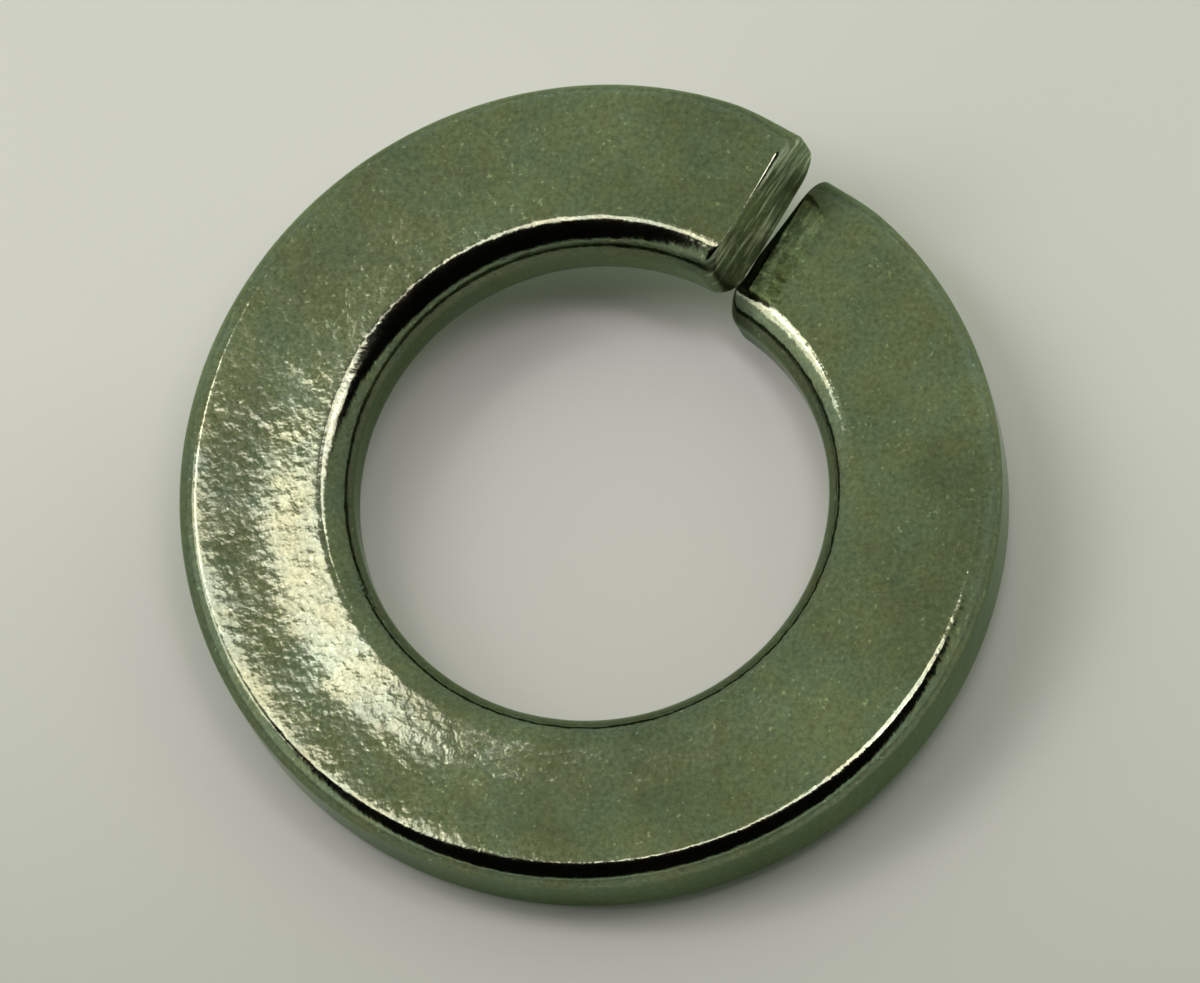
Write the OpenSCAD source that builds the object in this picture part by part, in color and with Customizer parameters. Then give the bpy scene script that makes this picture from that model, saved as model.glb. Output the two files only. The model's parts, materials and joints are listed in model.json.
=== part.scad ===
// Spring lock washer for a 10 mm bolt: one turn of flat spring wire, coiled as a left-hand helix,
// so that its two cut ends stand one above the other with a narrow split between them.
// Millimetres. The bore runs along Z, and the lowest point of the coil lies on Z = 0.

/* [Ring] */
// Diameter of the bore that the bolt passes through
bore_d = 10.3; // [9:0.1:12]
// Diameter over the rim
outside_d = 18; // [15.5:0.1:24]
// Thickness of the ring along the bore
thickness = 2.2; // [1.6:0.1:3.2]
// Height that one full turn of the coil climbs
turn_rise = 2.43; // [0.4:0.01:5]

/* [Edges] */
// Radius of both edges of the bore
bore_edge_r = 0.7; // [0.2:0.05:0.9]
// Radius of the rim's upper edge
rim_edge_r = 0.4; // [0.15:0.05:0.8]
// Radius of the rim's lower edge
foot_edge_r = 0.3; // [0.15:0.05:0.8]

/* [Split] */
// Direction of the split, anticlockwise from +X seen from above
split_angle = 57; // [0:1:359]
// Width of the split, between the middles of the two cut faces
split_gap = 0.26; // [0.1:0.02:2]
// Lean of both cut faces, whose upper edges lie further anticlockwise
split_lean = 5.5; // [0:0.5:12]

/* [Smoothness] */
// Angle between neighbouring sections along the coil
coil_step = 4; // [2:1:5]
// Chords in each rounded edge
edge_chords = 5; // [3:1:8]

/* [Hidden] */
plate_color = [0.40, 0.44, 0.31];

// Faces of the two walls on a full circle, wherever a circle is drawn as one
wall_facets = 360;
// Angle to the wall at which a rounded edge goes straight on past it
edge_cutoff = 10;
// Largest share of the thickness that one rounded edge may take
edge_share = 0.42;
// Height that the trimming cylinders run past the coil at each end
trim_past = 1;

bore_r = bore_d / 2;
rim_r = outside_d / 2;
mid_r = (bore_r + rim_r) / 2;

// A rounded edge ends inside its own half of the ring
edge_limit = min(edge_share * thickness, edge_share * (rim_r - bore_r));
bore_edge = min(bore_edge_r, edge_limit);
rim_edge = min(rim_edge_r, edge_limit);
foot_edge = min(foot_edge_r, edge_limit);

// The raw coil stands past both walls by four times what its chords fall short of a circle
wall_spare = 4 * rim_r * (1 - cos(coil_step / 2));

// Sideways place of a cut face at a height above the coil's underside, from the split's middle plane
function cut_lean(z) = (z - thickness / 2) * tan(split_lean);
// Where a section point's line along the coil starts, at the lower end, and stops, at the upper end
function lower_end(point) = split_angle - asin((split_gap / 2 - cut_lean(point.y)) / point.x);
function upper_end(point) = split_angle - 360 + asin((split_gap / 2 + cut_lean(point.y)) / point.x);

// Climb of the coil, counted from the lower end's underside beside the rim's lower edge
foot_angle = lower_end([rim_r - foot_edge, 0]);
function climb(angle) = turn_rise * (foot_angle - angle) / 360;

// Chords of an arc, from one angle to another
function arc(centre, radius, from, to) = [
    for (i = [0 : edge_chords])
        let (a = from + (to - from) * i / edge_chords)
        centre + radius * [cos(a), sin(a)]
];

// How far up or down a wall a rounded edge runs on, until it stands past the wall
function run_on(radius) = (radius * (1 - cos(edge_cutoff)) + wall_spare) / tan(edge_cutoff)
    - radius * sin(edge_cutoff);

// The raw section as [distance from the axis, height], anticlockwise from the underside at the rim.
// Its two upright sides lie past the bore and the rim, which the true cylinders then cut.
section = concat(
    arc([rim_r - foot_edge, foot_edge], foot_edge, -90, -edge_cutoff),
    [
        [rim_r + wall_spare, foot_edge + run_on(foot_edge)],
        [rim_r + wall_spare, thickness - rim_edge - run_on(rim_edge)]
    ],
    arc([rim_r - rim_edge, thickness - rim_edge], rim_edge, edge_cutoff, 90),
    arc([bore_r + bore_edge, thickness - bore_edge], bore_edge, 90, 180 - edge_cutoff),
    [
        [bore_r - wall_spare, thickness - bore_edge - run_on(bore_edge)],
        [bore_r - wall_spare, bore_edge + run_on(bore_edge)]
    ],
    arc([bore_r + bore_edge, bore_edge], bore_edge, 180 + edge_cutoff, 270)
);
section_middle = [mid_r, thickness / 2];
sides = len(section);
stations = ceil(360 / coil_step);

// A section point carried along the coil, 0 at the lower end and 1 at the upper end
function on_coil(point, along) =
    let (angle = lower_end(point) + (upper_end(point) - lower_end(point)) * along)
    [point.x * cos(angle), point.x * sin(angle), point.y + climb(angle)];

// The coil before its walls are trimmed: skin from section to section, and a fan over each cut face
module raw_coil() {
    skin_points = [for (i = [0 : stations], point = section) on_coil(point, i / stations)];
    end_points = [on_coil(section_middle, 0), on_coil(section_middle, 1)];
    lower_middle = len(skin_points);
    upper_middle = lower_middle + 1;
    last_ring = stations * sides;
    skin = [
        for (i = [0 : stations - 1], j = [0 : sides - 1])
            let (
                here = i * sides + j,
                beside = i * sides + (j + 1) % sides
            )
            each [
                [here, here + sides, beside],
                [beside, here + sides, beside + sides]
            ]
    ];
    lower_cut = [for (j = [0 : sides - 1]) [lower_middle, j, (j + 1) % sides]];
    upper_cut = [for (j = [0 : sides - 1]) [upper_middle, last_ring + (j + 1) % sides, last_ring + j]];
    polyhedron(
        points = concat(skin_points, end_points),
        faces = concat(skin, lower_cut, upper_cut),
        convexity = 6
    );
}

// A round bar on the axis, tall enough to pass right through the coil
module trim_bar(radius) {
    translate([0, 0, -trim_past])
        cylinder(r = radius, h = turn_rise + thickness + 2 * trim_past, $fn = wall_facets);
}

module lock_washer() {
    color(plate_color)
        difference() {
            intersection() {
                raw_coil();
                trim_bar(rim_r);
            }
            trim_bar(bore_r);
        }
}

lock_washer();
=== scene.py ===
import json
import math

import bmesh
import bpy
from mathutils import Matrix, Vector, geometry


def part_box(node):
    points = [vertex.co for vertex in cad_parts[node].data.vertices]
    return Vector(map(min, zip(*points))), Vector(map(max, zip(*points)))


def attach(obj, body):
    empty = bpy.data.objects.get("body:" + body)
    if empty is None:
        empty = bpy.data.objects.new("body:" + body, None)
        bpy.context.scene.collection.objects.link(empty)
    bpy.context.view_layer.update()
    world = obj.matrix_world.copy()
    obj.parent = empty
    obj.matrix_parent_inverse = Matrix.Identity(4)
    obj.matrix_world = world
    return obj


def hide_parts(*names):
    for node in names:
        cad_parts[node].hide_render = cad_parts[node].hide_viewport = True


# Spring lock washer on a pale table under soft light. Metres, but the washer's own sizes are millimetres.
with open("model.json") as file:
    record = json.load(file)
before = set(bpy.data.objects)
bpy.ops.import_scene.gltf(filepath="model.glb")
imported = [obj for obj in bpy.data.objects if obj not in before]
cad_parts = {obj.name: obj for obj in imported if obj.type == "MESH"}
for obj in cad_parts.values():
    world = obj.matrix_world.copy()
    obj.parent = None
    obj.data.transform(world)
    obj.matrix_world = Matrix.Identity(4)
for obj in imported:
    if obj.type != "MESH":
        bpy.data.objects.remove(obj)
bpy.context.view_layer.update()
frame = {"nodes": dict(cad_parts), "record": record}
mm = 0.001
degree = math.radians(1)

scene = bpy.context.scene
scene.view_settings.view_transform = "Standard"

cadWasher = frame["nodes"]["lock_washer"]
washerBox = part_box("lock_washer")
boreMount = frame["record"]["mounts"][0]


# small helpers for node trees, whose nodes are laid out in rows, in the order in which they are made
layout = {"nodesInRow": 14, "columnWidth": 190, "rowHeight": 260}


def isSocket(value):
    return isinstance(value, bpy.types.NodeSocket)


def addNode(tree, kind, inputs=None, **settings):
    node = tree.nodes.new(kind)
    row, column = divmod(len(tree.nodes), layout["nodesInRow"])
    node.location = (column * layout["columnWidth"], -row * layout["rowHeight"])
    for name, value in settings.items():
        setattr(node, name, value)
    for name, value in (inputs or {}).items():
        if isSocket(value):
            tree.links.new(value, node.inputs[name])
        else:
            node.inputs[name].default_value = value
    return node


def calc(tree, operation, first, second=0.0):
    return addNode(tree, "ShaderNodeMath", {0: first, 1: second}, operation=operation).outputs[0]


def span(tree, value, low, high, start=0.0, end=1.0, smooth=False):
    # value from low..high carried over to start..end, and held at both ends
    kind = "SMOOTHSTEP" if smooth else "LINEAR"
    inputs = {"Value": value, "From Min": low, "From Max": high, "To Min": start, "To Max": end}
    return addNode(tree, "ShaderNodeMapRange", inputs, interpolation_type=kind).outputs["Result"]


def blendOf(tree, factor, first, second):
    return calc(tree, "ADD", first, calc(tree, "MULTIPLY", factor, calc(tree, "SUBTRACT", second, first)))


def partsOf(tree, vector):
    return addNode(tree, "ShaderNodeSeparateXYZ", {0: vector}).outputs


def vectorOf(tree, x, y=0.0, z=0.0):
    return addNode(tree, "ShaderNodeCombineXYZ", {0: x, 1: y, 2: z}).outputs[0]


def scaleOf(tree, vector, factor):
    inputs = {0: vector, "Scale": factor}
    return addNode(tree, "ShaderNodeVectorMath", inputs, operation="SCALE").outputs["Vector"]


def reachOf(tree, vector, direction):
    # how far the vector goes in that direction
    inputs = {0: vector, 1: direction}
    return addNode(tree, "ShaderNodeVectorMath", inputs, operation="DOT_PRODUCT").outputs["Value"]


def stretchOf(tree, vector, scale):
    return addNode(tree, "ShaderNodeMapping", {"Vector": vector, "Scale": scale}).outputs["Vector"]


def colorBlend(tree, factor, first, second):
    # a Mix node keeps its colours in sockets 6 and 7, and the mixed colour in its output 2
    first, second = (end if isSocket(end) else (*end, 1.0) for end in (first, second))
    return addNode(tree, "ShaderNodeMix", {0: factor, 6: first, 7: second}, data_type="RGBA").outputs[2]


def noiseOf(tree, vector, scale, detail, roughness, seed=0.0):
    inputs = {"Vector": vector, "W": seed, "Scale": scale, "Detail": detail, "Roughness": roughness}
    return addNode(tree, "ShaderNodeTexNoise", inputs, noise_dimensions="4D").outputs["Fac"]


def layerOf(tree, vector, size, levels=None, shades=(0.0, 1.0), smooth=False, **noise):
    # noise with spots of this size, in which each of the two levels gets its shade
    plain = noiseOf(tree, vector, 1 / size, **noise)
    return span(tree, plain, *levels, *shades, smooth) if levels else plain


# washer: one turn of rounded flat wire on a left-hand helix, cut across by a shear. Each single number here
# is an input of the node group too, named in the same words
washer = {
    "thickness": 2.2,
    "boreEdge": 0.72,        # radius of both edges of the bore
    "rimEdge": 0.42,         # radius of the rim's upper edge
    "footEdge": 0.30,        # radius of the rim's lower edge
    "cornerChords": 16,      # in each of these edges
    "rimBreak": 9.0,         # degrees; how sharply the upper edges start off the flat
    "boreBreak": 3.0,
    "keystone": 0.57,        # degrees; the upper flat falls towards the rim
    "dish": 0.064,           # and lies this much lower towards the bore, after a soft step that wanders
    "dishWander": 0.30,
    "wanderRate": 0.35,      # for each mm along the coil
    "splitAngle": 57.0,      # direction of the split, degrees from +X
    "gapAtBore": 0.04,       # the split is narrower at the bore
    "gapAtRim": 0.22,
    "leanAtBore": 8.0,       # degrees; the shear twisted the cut faces
    "leanAtRim": 3.0,
    "endRimEdge": 0.80,      # the rim's edges are more rounded right beside the cuts
    "endFootEdge": 0.70,
    "endReach": 1.3,         # how far from a cut that starts
    "openRound": 0.17,       # rounding between skin and cut, on the side that stands free
    "tightRound": 0.06,      # and on the side at the split
    "leastRound": 0.14,      # share of either that is left towards the bore
    "cutRoundBore": 0.28,
    "rowsAlong": 620,
    "rowsInCut": 30,         # of them, over each cut face
    "pointsAround": 156,
    "roundShare": 0.3,       # share of the cut's rows that go into its rounding
    "mergeWithin": 0.0005,
    "dimpleSize": 0.34,      # hammered skin, as rolled
    "dimpleDepth": 0.0050,
    "dimpleDetail": 1.5,
    "waveSize": 1.2,
    "waveDepth": 0.008,
    "waveDetail": 1.0,
    "edgeNickSize": 0.45,
    "edgeNickDepth": 0.012,
    "edgeNickDetail": 2.0,
    "tearSize": 0.16,        # streaks that the shear tore in the cut faces
    "tearDepth": 0.018,
    "tearDetail": 2.0,
    "seed": 7,
    # where a thing starts and ends across the section, from -1 at the bore to 1 at the rim
    "swellAcross": (-0.3, 0.3),       # the rounder section beside the cuts
    "boreRoundAcross": (-1.0, -0.6),  # the cuts' rounding at the bore
    "roundAcross": (-0.3, 0.6),       # the rest of their rounding
    "stepAcross": (-0.12, 0.85),      # the step in the upper flat
    # and up the section, in mm from its middle
    "sideHeights": (-0.5, 0.5),       # from the section's lower side to its upper one
    "flatHeights": (0.0, 0.3),        # the upper flat's slopes
    # how upright the skin looks where the nicked edges meet a wall, and where they meet a flat
    "edgeAtWall": (0.25, 0.55),
    "edgeAtFlat": (0.9, 0.995),
    "cutLooks": (0.2, 0.85),          # share of the rounding over which the skin turns into cut face
    "tearStretch": (0.14, 1.0, 9.0),  # from bore to rim, upwards and along the coil
}


def inputName(key):
    # rimEdge is the input called Rim Edge
    return "".join(" " + letter if letter.isupper() else letter for letter in key).title()


def buildCoilTree(sizes):
    tree = bpy.data.node_groups.new("coilOfFlatWire", "GeometryNodeTree")
    face = tree.interface
    face.new_socket("Geometry", in_out="INPUT", socket_type="NodeSocketGeometry")
    for name, size in sizes.items():
        kind = "NodeSocketInt" if isinstance(size, int) else "NodeSocketFloat"
        face.new_socket(name, in_out="INPUT", socket_type=kind).default_value = size
    face.new_socket("Skin", in_out="INPUT", socket_type="NodeSocketMaterial")
    face.new_socket("Geometry", in_out="OUTPUT", socket_type="NodeSocketGeometry")
    given = addNode(tree, "NodeGroupInput").outputs
    bore, rim, thickness = given["Bore Radius"], given["Rim Radius"], given["Thickness"]
    position = addNode(tree, "GeometryNodeInputPosition").outputs[0]

    def sub(first, second):
        return calc(tree, "SUBTRACT", first, second)

    def add(first, second):
        return calc(tree, "ADD", first, second)

    def mul(first, second):
        return calc(tree, "MULTIPLY", first, second)

    def div(first, second):
        return calc(tree, "DIVIDE", first, second)

    # section: a rectangle with its own radius on each corner, in millimetres
    middleX = mul(add(bore, rim), 0.5)
    middleY = mul(thickness, 0.5)
    halfWide = mul(sub(rim, bore), 0.5)
    boxSize = {"Width": sub(rim, bore), "Height": thickness}
    box = addNode(tree, "GeometryNodeCurvePrimitiveQuadrilateral", boxSize)
    corner = partsOf(tree, position)
    isRim = calc(tree, "GREATER_THAN", corner["X"], 0.0)
    isTop = calc(tree, "GREATER_THAN", corner["Y"], 0.0)

    def roundedBox(rimEdge, footEdge):
        cornerRadius = blendOf(tree, isRim, given["Bore Edge"], blendOf(tree, isTop, footEdge, rimEdge))
        inputs = {"Curve": box.outputs["Curve"], "Count": given["Corner Chords"], "Radius": cornerRadius}
        return addNode(tree, "GeometryNodeFilletCurve", inputs, mode="POLY").outputs["Curve"]

    def acrossSpan(value, ends, start=0.0, end=1.0, smooth=False):
        low, high = (mul(halfWide, share) for share in washer[ends])
        return span(tree, value, low, high, start, end, smooth)

    # sheet of points: X runs along the coil, Y round the section
    rows = given["Rows Along"]
    sheetSize = {"Size X": 1.0, "Size Y": 1.0, "Vertices X": rows, "Vertices Y": given["Points Around"]}
    sheet = addNode(tree, "GeometryNodeMeshGrid", sheetSize)
    place = partsOf(tree, position)
    along = add(place["X"], 0.5)
    girthShare = add(place["Y"], 0.5)
    cutShare = div(given["Rows In Cut"], sub(rows, 1.0))
    coil = span(tree, along, cutShare, sub(1.0, cutShare))
    nearEnd = calc(tree, "MINIMUM", along, sub(1.0, along))
    inward = span(tree, nearEnd, 0.0, cutShare, 1.0, 0.0)
    roundPart = span(tree, inward, 0.0, given["Round Share"])
    flatPart = span(tree, inward, given["Round Share"], 1.0)

    # point of the section, which swells to the end section beside a cut
    def pointOn(curve):
        inputs = {"Curves": curve, "Factor": girthShare}
        return addNode(tree, "GeometryNodeSampleCurve", inputs, mode="FACTOR").outputs

    here = pointOn(roundedBox(given["Rim Edge"], given["Foot Edge"]))
    atEnd = pointOn(roundedBox(given["End Rim Edge"], given["End Foot Edge"]))
    coilLength = mul(middleX, 2 * math.pi)
    toEnd = mul(calc(tree, "MINIMUM", coil, sub(1.0, coil)), coilLength)
    endShare = span(tree, toEnd, 0.0, given["End Reach"], 1.0, 0.0, smooth=True)
    swellShare = mul(endShare, acrossSpan(partsOf(tree, here["Position"])["X"], "swellAcross"))

    def swell(output):
        # a Mix node keeps its vectors in sockets 4 and 5, and the mixed vector in its output 1
        inputs = {0: swellShare, 4: here[output], 5: atEnd[output]}
        return partsOf(tree, addNode(tree, "ShaderNodeMix", inputs, data_type="VECTOR").outputs[1])

    outline, heading = swell("Position"), swell("Tangent")

    # that point drawn in over the rounding and then over the cut face to its middle
    boreSide = acrossSpan(outline["X"], "boreRoundAcross", 1.0, 0.0, smooth=True)
    topSide = span(tree, outline["Y"], *washer["sideHeights"], smooth=True)
    isUpperEnd = calc(tree, "GREATER_THAN", along, 0.5)
    freeSide = calc(tree, "ABSOLUTE", sub(add(isUpperEnd, topSide), 1.0))
    sideRound = blendOf(tree, freeSide, given["Tight Round"], given["Open Round"])
    rimShare = acrossSpan(outline["X"], "roundAcross", given["Least Round"], 1.0)
    cutRound = blendOf(tree, boreSide, mul(sideRound, rimShare), given["Cut Round Bore"])
    quarter = mul(roundPart, math.pi / 2)
    drawIn = mul(cutRound, sub(1.0, calc(tree, "COSINE", quarter)))
    standOff = mul(cutRound, sub(1.0, calc(tree, "SINE", quarter)))
    insetX = sub(outline["X"], mul(heading["Y"], drawIn))
    insetY = add(outline["Y"], mul(heading["X"], drawIn))

    # the upper flat's slopes, and the step in it
    rimward = calc(tree, "MAXIMUM", sub(add(outline["X"], given["Rim Edge"]), halfWide), 0.0)
    boreward = calc(tree, "MAXIMUM", sub(sub(given["Bore Edge"], outline["X"]), halfWide), 0.0)
    slopes = add(mul(rimward, given["Rim Break"]), mul(boreward, given["Bore Break"]))
    slopes = add(slopes, mul(add(outline["X"], halfWide), given["Keystone"]))
    alongCoil = vectorOf(tree, mul(coil, coilLength))
    wander = noiseOf(tree, alongCoil, given["Wander Rate"], detail=1.0, roughness=0.5, seed=given["Seed"])
    stepX = sub(outline["X"], mul(sub(wander, 0.5), mul(given["Dish Wander"], 2.0)))
    sunken = mul(acrossSpan(stepX, "stepAcross", 1.0, 0.0, smooth=True), given["Dish"])
    fallOff = mul(add(mul(slopes, degree), sunken), span(tree, outline["Y"], *washer["flatHeights"]))
    insetY = sub(insetY, fallOff)
    radius = add(middleX, blendOf(tree, flatPart, insetX, 0.0))
    height = add(middleY, blendOf(tree, flatPart, insetY, 0.0))

    # angles of the two cut faces at that point, then the angle of the point itself
    across = span(tree, radius, bore, rim)
    gap = blendOf(tree, across, given["Gap At Bore"], given["Gap At Rim"])
    lean = mul(blendOf(tree, across, given["Lean At Bore"], given["Lean At Rim"]), degree)
    aside = mul(sub(height, middleY), lean)
    halfGap = add(mul(gap, 0.5), standOff)
    split = mul(given["Split Angle"], degree)
    lowerEnd = sub(split, div(sub(halfGap, aside), radius))
    upperEnd = add(sub(split, 2 * math.pi), div(add(halfGap, aside), radius))
    angle = blendOf(tree, coil, lowerEnd, upperEnd)
    footAside = mul(middleY, mul(given["Lean At Rim"], degree))
    footAngle = sub(split, div(add(mul(given["Gap At Rim"], 0.5), footAside), rim))
    climb = mul(sub(footAngle, angle), div(given["Turn Rise"], 2 * math.pi))
    targetX = mul(mul(radius, calc(tree, "COSINE", angle)), mm)
    targetY = mul(mul(radius, calc(tree, "SINE", angle)), mm)
    target = vectorOf(tree, targetX, targetY, mul(add(height, climb), mm))

    # what the material reads: where in the section and how far along a point lies, and what is cut face
    def keep(shape, name, value, kind):
        inputs = {"Geometry": shape, "Name": name, "Value": value}
        settings = {"data_type": kind, "domain": "POINT"}
        return addNode(tree, "GeometryNodeStoreNamedAttribute", inputs, **settings).outputs[0]

    def kept(name, kind):
        named = addNode(tree, "GeometryNodeInputNamedAttribute", {"Name": name}, data_type=kind)
        return named.outputs["Attribute"]

    cutMask = span(tree, roundPart, *washer["cutLooks"], smooth=True)
    shape = keep(sheet.outputs["Mesh"], "sectionPlace", vectorOf(tree, radius, height, coil), "FLOAT_VECTOR")
    shape = keep(shape, "cutFace", cutMask, "FLOAT")
    swept = addNode(tree, "GeometryNodeSetPosition", {"Geometry": shape, "Position": target})
    closing = {"Geometry": swept.outputs[0], "Distance": mul(given["Merge Within"], mm)}
    closed = addNode(tree, "GeometryNodeMergeByDistance", closing)
    turned = addNode(tree, "GeometryNodeFlipFaces", {"Mesh": closed.outputs[0]})

    # relief, always inwards: dimples and waves all over, nicks along the edges, torn streaks on the cuts
    spot = scaleOf(tree, position, 1 / mm)
    normal = addNode(tree, "GeometryNodeInputNormal").outputs["Normal"]
    upright = calc(tree, "ABSOLUTE", partsOf(tree, normal)["Z"])
    offWall = span(tree, upright, *washer["edgeAtWall"], smooth=True)
    offFlat = span(tree, upright, *washer["edgeAtFlat"], 1.0, 0.0, smooth=True)
    torn = {0: kept("sectionPlace", "FLOAT_VECTOR"), 1: washer["tearStretch"]}
    stretched = addNode(tree, "ShaderNodeVectorMath", torn, operation="MULTIPLY").outputs[0]

    def relief(place, kind):
        size, detail, depth = (given[kind + " " + word] for word in ("Size", "Detail", "Depth"))
        bumps = noiseOf(tree, place, div(1.0, size), detail, roughness=0.5, seed=given["Seed"])
        return mul(bumps, depth)

    nicks = mul(relief(spot, "Edge Nick"), mul(offWall, offFlat))
    tears = mul(relief(stretched, "Tear"), kept("cutFace", "FLOAT"))
    depth = add(add(relief(spot, "Dimple"), relief(spot, "Wave")), add(nicks, tears))
    push = scaleOf(tree, normal, mul(depth, -mm))
    worn = addNode(tree, "GeometryNodeSetPosition", {"Geometry": turned.outputs[0], "Offset": push})
    smooth = addNode(tree, "GeometryNodeSetShadeSmooth", {"Geometry": worn.outputs[0]})
    real = addNode(tree, "GeometryNodeRealizeInstances", {"Geometry": smooth.outputs[0]})
    finish = {"Geometry": real.outputs[0], "Material": given["Skin"]}
    skinned = addNode(tree, "GeometryNodeSetMaterial", finish)
    addNode(tree, "NodeGroupOutput", {"Geometry": skinned.outputs[0]})
    return tree


# plated steel: dull olive green metal with a hammered skin, lightly rubbed
plating = {
    "olive": (0.192, 0.222, 0.122),
    "sage": (0.172, 0.222, 0.140),
    "edgeTint": (0.62, 0.74, 0.58),   # how bright it turns when seen along its surface
    # layers of noise, with the size of their spots in mm; shades are shares of the plain colour
    "patches": {"size": 1.1, "detail": 3.0, "roughness": 0.6, "levels": (0.35, 0.65)},  # olive to sage
    "clouds": {"size": 3.2, "detail": 2.0, "roughness": 0.6, "seed": 9.0, "levels": (0.35, 0.65),
               "shades": (0.84, 1.18)},
    "mottle": {"size": 0.11, "detail": 3.0, "roughness": 0.7, "levels": (0.3, 0.7), "shades": (0.70, 1.34)},
    "specks": {"size": 0.13, "detail": 1.0, "roughness": 0.5, "seed": 3.0, "levels": (0.66, 0.76),
               "shades": (0.0, 0.95)},  # small and rubbed bright
    "rub": {"size": 1 / 1.7, "detail": 4.0, "roughness": 0.6, "levels": (0.3, 0.7),
            "shades": (0.08, 0.14)},    # how rough the skin is
    "grain": {"size": 0.22, "detail": 2.0, "roughness": 0.45},
    "steps": {"size": 0.275, "detail": 2.0, "roughness": 0.55, "seed": 5.0, "levels": (0.40, 0.64),
              "smooth": True},          # between the grain's low plateaus
    "streaks": {"size": 1.0, "detail": 3.0, "roughness": 0.6},
    "grainDepth": 0.0072,
    "stepDepth": 0.0009,
    "boreShadePainted": 0.60,        # painted shade: the bore's wall is darkened, standing in for the shaded floor in the hole that it mirrors
    "boreReach": (5.20, 5.75),  # mm from the axis
    "cutShade": 1.05,         # how much of its colour a cut face keeps
    "cutRough": 0.40,
    "bareSteel": (0.78, 0.84, 0.64),  # where the shear's streaks have rubbed through
    "bareLevels": (0.50, 0.63),
    "bareShare": 0.9,
    "streakDepth": 0.008,
    "streakStretch": (0.8, 5.0, 28.0),  # from bore to rim, upwards and along the coil
    "splitShadePainted": 0.36,       # painted shade and painted reflection: the lower end is darkened beside the split, where the upper end's cut face shades it and is mirrored in it
    "splitShadeReach": 0.025,      # as a share of the turn
}


def buildPlating():
    material = bpy.data.materials.new("olivePlating")
    material.use_nodes = True
    tree = material.node_tree
    skin = tree.nodes["Principled BSDF"]
    skin.inputs["Metallic"].default_value = 1.0
    skin.inputs["Specular Tint"].default_value = (*plating["edgeTint"], 1.0)
    place = addNode(tree, "ShaderNodeTexCoord").outputs["Object"]
    spot = stretchOf(tree, place, (1 / mm, 1 / mm, 1 / mm))

    def add(first, second):
        return calc(tree, "ADD", first, second)

    def mul(first, second):
        return calc(tree, "MULTIPLY", first, second)

    def layer(name):
        return layerOf(tree, spot, **plating[name])

    tint = colorBlend(tree, layer("patches"), plating["olive"], plating["sage"])
    mottle = mul(add(layer("mottle"), layer("specks")), layer("clouds"))

    # painted shade on the bore's wall, the shear's streaks on the two cut faces, and painted shade beside
    # the split
    cut = addNode(tree, "ShaderNodeAttribute", attribute_name="cutFace").outputs["Fac"]
    held = addNode(tree, "ShaderNodeAttribute", attribute_name="sectionPlace").outputs["Vector"]
    streaks = layerOf(tree, stretchOf(tree, held, plating["streakStretch"]), **plating["streaks"])
    bared = mul(cut, span(tree, streaks, *plating["bareLevels"], 0.0, plating["bareShare"]))
    heldParts = partsOf(tree, held)
    # painted shade: darker on the bore's wall, towards the axis
    paintedBoreShade = span(tree, heldParts["X"], *plating["boreReach"], plating["boreShadePainted"], 1.0)
    # painted shade and painted reflection beside the split, on the lower end
    paintedSplitShade = span(tree, heldParts["Z"], 0.0, plating["splitShadeReach"], plating["splitShadePainted"], 1.0, smooth=True)
    shade = mul(mul(mottle, paintedBoreShade), blendOf(tree, cut, paintedSplitShade, plating["cutShade"]))
    worn = colorBlend(tree, bared, scaleOf(tree, tint, shade), plating["bareSteel"])
    tree.links.new(worn, skin.inputs["Base Color"])
    tree.links.new(blendOf(tree, cut, layer("rub"), plating["cutRough"]), skin.inputs["Roughness"])

    # relief of the skin and of the streaks, in millimetres
    grain = mul(layer("grain"), plating["grainDepth"])
    torn = mul(mul(streaks, cut), plating["streakDepth"])
    height = add(add(grain, torn), mul(layer("steps"), plating["stepDepth"]))
    bump = addNode(tree, "ShaderNodeBump", {"Height": height, "Strength": 1.0, "Distance": mm})
    tree.links.new(bump.outputs["Normal"], skin.inputs["Normal"])
    return material


def buildWasher():
    rimRadius = washerBox[1].x / mm
    overall = (washerBox[1].z - washerBox[0].z) / mm
    cutTravel = 360 - math.degrees(washer["gapAtRim"] / rimRadius)
    sizes = {
        "Bore Radius": boreMount["dims"]["r_mm"],
        "Rim Radius": rimRadius,
        "Turn Rise": (overall - washer["thickness"]) * 360 / cutTravel,
    }
    sizes.update({inputName(key): size for key, size in washer.items() if isinstance(size, (int, float))})
    tree = buildCoilTree(sizes)
    values = {**sizes, "Skin": buildPlating()}
    holder = bpy.data.objects.new("coil", bpy.data.meshes.new("coil"))
    scene.collection.objects.link(holder)
    modifier = holder.modifiers.new("coil", "NODES")
    modifier.node_group = tree
    for item in tree.interface.items_tree:
        if item.in_out == "INPUT" and item.name in values:
            modifier[item.identifier] = values[item.name]
    bpy.context.view_layer.update()
    settled = holder.evaluated_get(bpy.context.evaluated_depsgraph_get())
    mesh = bpy.data.meshes.new_from_object(settled)
    mesh.name = "splitRing"
    ring = bpy.data.objects.new("splitRing", mesh)
    scene.collection.objects.link(ring)
    bpy.data.objects.remove(holder)
    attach(ring, "root")
    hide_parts("lock_washer")
    print("washer:", len(mesh.vertices), "points,", len(mesh.polygons), "faces")


# table: a large pale sheet, tilted to the plane that the washer really rests on
table = {
    "size": 3.0,
    "paper": (0.535, 0.585, 0.497),
    "paperPaintedLight": (0.835, 0.905, 0.78),      # painted light and shade: the paper is coloured lighter toward the upper right of the picture, standing in for how the light falls across the table
    "paintedLightToward": (0.87, -0.49, 0.0),   # on the sheet's own axes
    "near": -13.0,            # mm
    "far": 11.0,
    "roughness": 0.75,
    "shine": 0.2,
}


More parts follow.
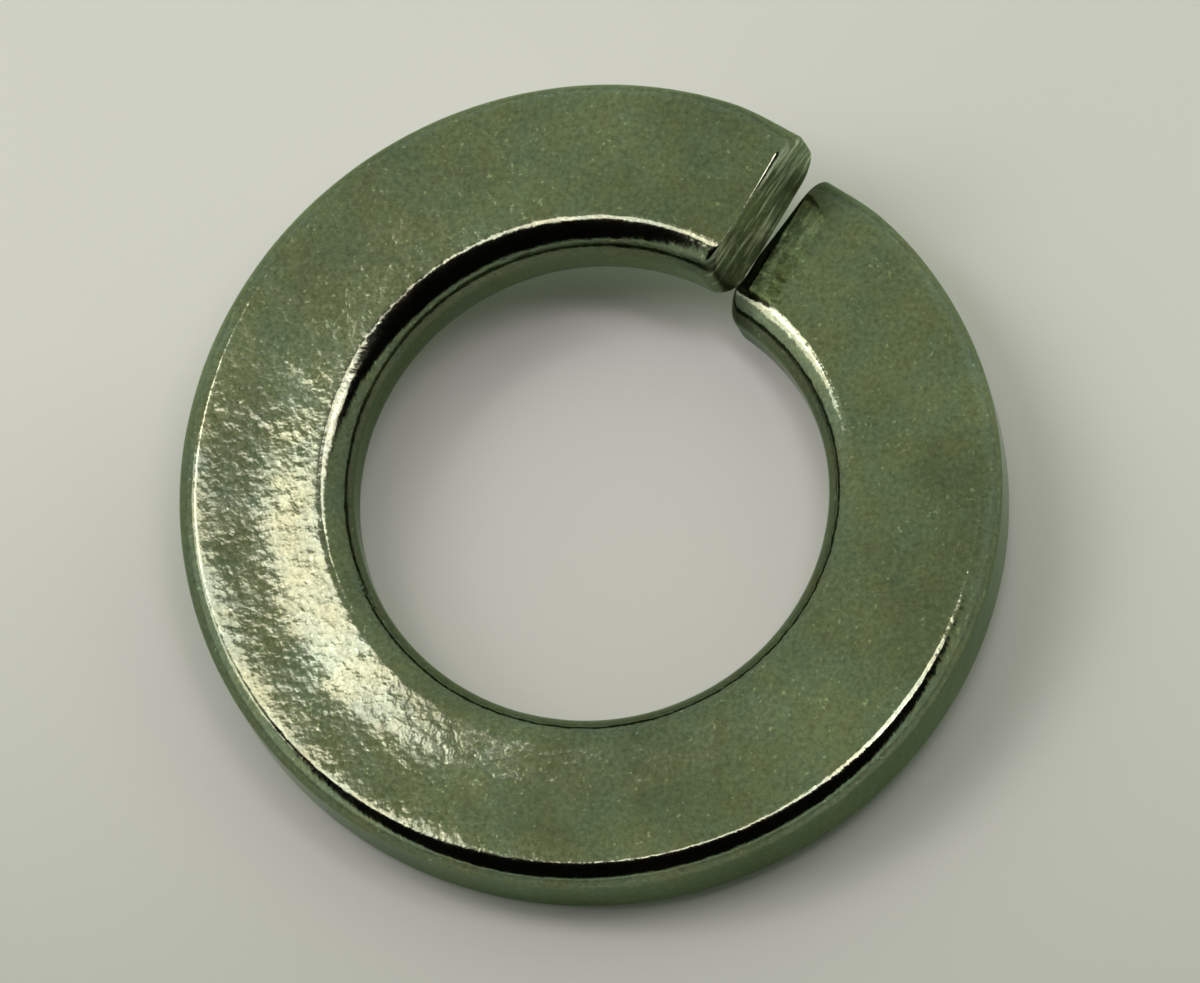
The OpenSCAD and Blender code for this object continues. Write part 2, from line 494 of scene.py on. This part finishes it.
def restingFace(node):
    # the side of the washer's convex hull that lies under its middle
    hull = bmesh.new()
    hull.from_mesh(node.data)
    bmesh.ops.delete(hull, geom=hull.faces[:], context="FACES_ONLY")
    bmesh.ops.delete(hull, geom=hull.edges[:], context="EDGES_FACES")
    bmesh.ops.convex_hull(hull, input=hull.verts)
    hull.normal_update()
    found = None
    for side in hull.faces:
        a, b, c = (corner.co for corner in side.verts[:3])
        if side.normal.z < 0 and geometry.intersect_point_tri_2d(Vector((0, 0)), a.xy, b.xy, c.xy):
            found = (-side.normal, a.copy())
    hull.free()
    return found


def buildTable():
    upward, touch = restingFace(cadWasher)
    half = table["size"] / 2
    corners = [(-half, -half, 0), (half, -half, 0), (half, half, 0), (-half, half, 0)]
    mesh = bpy.data.meshes.new("tableTop")
    mesh.from_pydata(corners, [], [(0, 1, 2, 3)])
    top = bpy.data.objects.new("tableTop", mesh)
    top.matrix_world = Matrix.Translation(touch) @ upward.to_track_quat("Z", "Y").to_matrix().to_4x4()
    scene.collection.objects.link(top)

    material = bpy.data.materials.new("palePaper")
    material.use_nodes = True
    tree = material.node_tree
    paper = tree.nodes["Principled BSDF"]
    place = addNode(tree, "ShaderNodeTexCoord").outputs["Object"]
    # painted light and shade: the paper's colour runs from darker to lighter across the table
    distance = reachOf(tree, place, table["paintedLightToward"])
    paintedLightShare = span(tree, distance, table["near"] * mm, table["far"] * mm)
    paintedLightTone = colorBlend(tree, paintedLightShare, table["paper"], table["paperPaintedLight"])
    tree.links.new(paintedLightTone, paper.inputs["Base Color"])
    paper.inputs["Roughness"].default_value = table["roughness"]
    paper.inputs["Specular IOR Level"].default_value = table["shine"]
    # seen from below, the table is left out, so that it doesn't hide the washer's underside
    under = addNode(tree, "ShaderNodeNewGeometry").outputs["Backfacing"]
    clear = addNode(tree, "ShaderNodeBsdfTransparent").outputs[0]
    either = addNode(tree, "ShaderNodeMixShader", {0: under, 1: paper.outputs[0], 2: clear})
    tree.links.new(either.outputs[0], tree.nodes["Material Output"].inputs["Surface"])
    mesh.materials.append(material)
    tilt = math.degrees(upward.angle(Vector((0, 0, 1))))
    print("table: tilted", round(tilt, 2), "degrees, touched at", [round(value / mm, 2) for value in touch])


# light: soft lamps above, and a room with pale walls, brightest on the left and dark only where the camera
# and its stand are
light = {
    # toward is a lamp's place on the sky seen from above, turn the direction of its long side there, and
    # level its brightness as seen on the metal
    "lamps": {
        "overheadLamp": {"toward": (-0.360, 0.098), "distance": 0.065, "size": (0.0300, 0.0147),
                         "turn": -21.7, "level": 4.1},
        "leftLamp": {"toward": (-0.64, 0.03), "distance": 0.22, "size": (0.100, 0.060),
                     "turn": 80.0, "level": 2.8},
        "edgeLamp": {"toward": (-0.42, 0.20), "distance": 0.22, "size": (0.050, 0.020),
                     "turn": 43.0, "level": 5.5},
        "rightLamp": {"toward": (0.18, 0.055), "distance": 0.22, "size": (0.105, 0.024),
                      "turn": -15.0, "level": 4.5},
        "farRightLamp": {"toward": (0.290, 0.098), "distance": 0.08, "size": (0.035, 0.014),
                         "turn": -31.0, "level": 4.6},
    },
    "lampColor": (1.0, 0.82, 0.98),
    "overheadColor": (0.515, 0.545, 0.42),
    "wallColor": (0.60, 0.64, 0.57),
    "wallTop": 0.85,          # how high the walls reach, as the sine of the angle above the table
    "wallFoot": 0.25,
    "horizonColor": (0.56, 0.61, 0.56),
    "horizonTop": 0.27,
    "horizonFoot": 0.11,
    # in degrees, how wide each patch is and how wide its soft edge
    "brightPatch": {"color": (0.92, 0.96, 0.88), "toward": (-0.78, -0.28, 0.46),
                    "spread": 27.0, "fade": 30.0},
    "darkPatch": {"color": (0.006, 0.005, 0.004), "toward": (0.14, -0.60, 0.78),
                  "spread": 49.0, "fade": 8.0},
}


def addLamp(name, toward, distance, size, turn, level):
    lamp = bpy.data.lights.new(name, "AREA")
    lamp.shape = "RECTANGLE"
    lamp.color = light["lampColor"]
    lamp.size, lamp.size_y = size
    lamp.energy = level * math.pi * size[0] * size[1]
    away = Vector((*toward, math.sqrt(1 - toward[0] ** 2 - toward[1] ** 2)))
    holder = bpy.data.objects.new(name, lamp)
    longSide = Vector((math.cos(math.radians(turn)), math.sin(math.radians(turn)), 0))
    shortSide = away.cross(longSide).normalized()
    facing = Matrix((shortSide.cross(away), shortSide, away)).transposed().to_4x4()
    holder.matrix_world = Matrix.Translation(away * distance) @ facing
    scene.collection.objects.link(holder)


def buildLight():
    for name, lamp in light["lamps"].items():
        addLamp(name, **lamp)
    room = bpy.data.worlds.new("room")
    room.use_nodes = True
    scene.world = room
    tree = room.node_tree
    toward = addNode(tree, "ShaderNodeTexCoord").outputs["Generated"]
    upward = partsOf(tree, toward)["Z"]
    wall = span(tree, upward, light["wallTop"], light["wallFoot"])
    around = colorBlend(tree, wall, light["overheadColor"], light["wallColor"])
    for patch in (light["brightPatch"], light["darkPatch"]):
        inner = math.cos(math.radians(patch["spread"] - patch["fade"] / 2))
        outer = math.cos(math.radians(patch["spread"] + patch["fade"] / 2))
        nearness = reachOf(tree, toward, Vector(patch["toward"]).normalized())
        around = colorBlend(tree, span(tree, nearness, outer, inner, smooth=True), around, patch["color"])
    horizon = span(tree, upward, light["horizonTop"], light["horizonFoot"])
    around = colorBlend(tree, horizon, around, light["horizonColor"])
    tree.links.new(around, tree.nodes["Background"].inputs["Color"])
    print("light:", len(light["lamps"]), "lamps and the room")


# camera: leaned back from straight overhead, as the photograph was taken
photo = {
    "width": 1200,
    "originPlace": (607.2, 528.4),   # where the washer's own origin shows, in pixels
    "middlePlace": (600.0, 491.5),
    "focalPixels": 8947.0,
    "distance": 0.1979,
    "lean": 19.63,                   # degrees
    "leanAxis": 25.37,               # direction of the axis that it leans about
    "sensor": 36.0,
    "clip": (0.01, 5.0),
}


def buildCamera():
    lens = bpy.data.cameras.new("camera")
    lens.sensor_fit = "HORIZONTAL"
    lens.sensor_width = photo["sensor"]
    lens.lens = photo["focalPixels"] * photo["sensor"] / photo["width"]
    lens.clip_start, lens.clip_end = photo["clip"]
    camera = bpy.data.objects.new("camera", lens)
    axis = Vector((math.cos(math.radians(photo["leanAxis"])), math.sin(math.radians(photo["leanAxis"])), 0))
    lean = Matrix.Rotation(math.radians(photo["lean"]), 4, axis)
    rightward = (photo["originPlace"][0] - photo["middlePlace"][0]) / photo["focalPixels"]
    downward = (photo["originPlace"][1] - photo["middlePlace"][1]) / photo["focalPixels"]
    aim = Matrix.Rotation(downward, 4, "X") @ Matrix.Rotation(rightward, 4, "Y")
    camera.matrix_world = lean @ Matrix.Translation((0, 0, photo["distance"])) @ aim
    scene.collection.objects.link(camera)
    scene.camera = camera
    print("camera: lens", round(lens.lens, 1), "mm")


buildCamera()
buildWasher()
buildTable()
buildLight()
